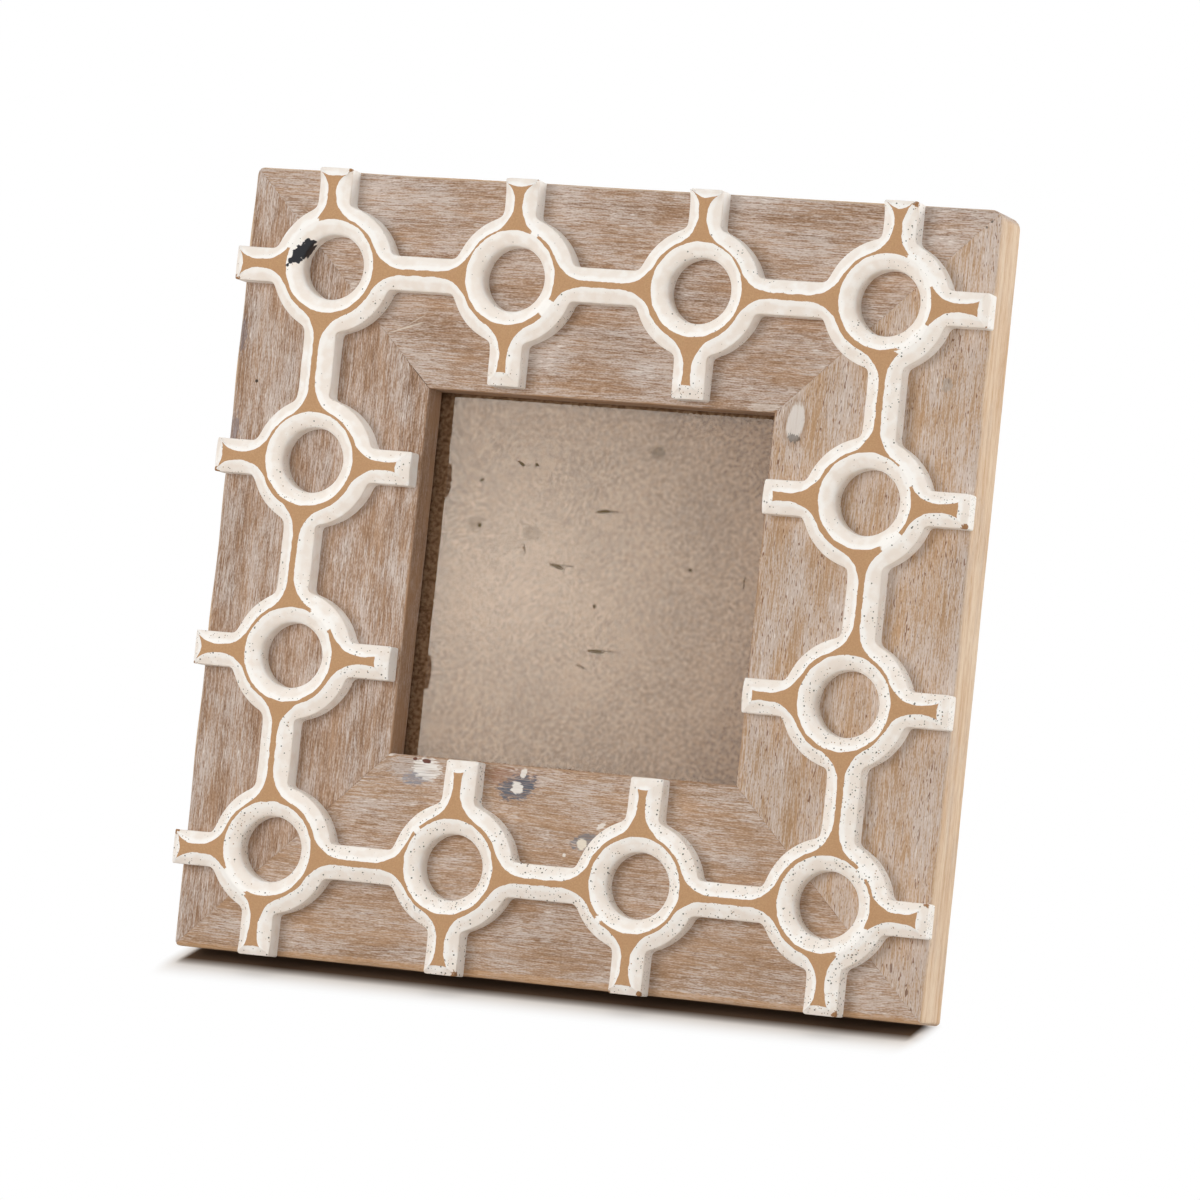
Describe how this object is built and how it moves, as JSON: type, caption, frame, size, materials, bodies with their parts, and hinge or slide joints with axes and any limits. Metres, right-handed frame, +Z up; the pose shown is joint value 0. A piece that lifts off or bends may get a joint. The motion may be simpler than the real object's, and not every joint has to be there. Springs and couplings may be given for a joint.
{
  "type": "picture frame",
  "caption": "Square limed-wood picture frame with a routed ring lattice on its face, a glazed square window, turn buttons and a folding easel leg.",
  "frame": {"origin": "on the ground, at the middle of the standing frame's bounding box", "axes": "+X to the viewer's right along the frame's width, +Y from the picture side towards the easel leg, +Z up"},
  "size_m": [0.2608, 0.115, 0.257],
  "materials": {
    "limed_wood": "limed and sanded, open grain",
    "painted_mdf": "cream paint, sanded through to the brown board on top",
    "raw_mdf": "raw fibreboard",
    "glass": "clear",
    "grey_card": "matt",
    "zinc_steel": "zinc plated",
    "nail_steel": "plain"
  },
  "bodies": {
    "root": {"top_rail": "limed_wood", "bottom_rail": "limed_wood", "left_stile": "limed_wood", "right_stile": "limed_wood", "fretwork": "painted_mdf", "corner_v_nails": "nail_steel", "glass_pane": "glass", "backing_card": "grey_card", "back_panel": "raw_mdf", "turn_button_screws": "zinc_steel", "hinge_leaf_panel": "zinc_steel", "hinge_pin": "zinc_steel", "panel_rivets": "zinc_steel"},
    "easel_leg": {"easel_leg": "raw_mdf", "hinge_leaf_leg": "zinc_steel", "leg_rivets": "zinc_steel"},
    "turn_button_upper_left": {"turn_button_upper_left": "zinc_steel"},
    "turn_button_lower_left": {"turn_button_lower_left": "zinc_steel"},
    "turn_button_upper_right": {"turn_button_upper_right": "zinc_steel"},
    "turn_button_lower_right": {"turn_button_lower_right": "zinc_steel"}
  },
  "joints": [
    {"name": "leg_fold", "type": "hinge", "parent": "root", "child": "easel_leg", "pos_m": [0, 0.02311, 0.16667], "axis": [1, 0, 0], "range_deg": [-28, 0]},
    {"name": "turn_upper_left", "type": "hinge", "parent": "root", "child": "turn_button_upper_left", "pos_m": [-0.072, 0.01693, 0.15704], "axis": [0, 0.9578, -0.2874], "continuous": true},
    {"name": "turn_lower_left", "type": "hinge", "parent": "root", "child": "turn_button_lower_left", "pos_m": [-0.072, -0.00261, 0.09191], "axis": [0, 0.9578, -0.2874], "continuous": true},
    {"name": "turn_upper_right", "type": "hinge", "parent": "root", "child": "turn_button_upper_right", "pos_m": [0.072, 0.01693, 0.15704], "axis": [0, 0.9578, -0.2874], "continuous": true},
    {"name": "turn_lower_right", "type": "hinge", "parent": "root", "child": "turn_button_lower_right", "pos_m": [0.072, -0.00261, 0.09191], "axis": [0, 0.9578, -0.2874], "continuous": true}
  ]
}
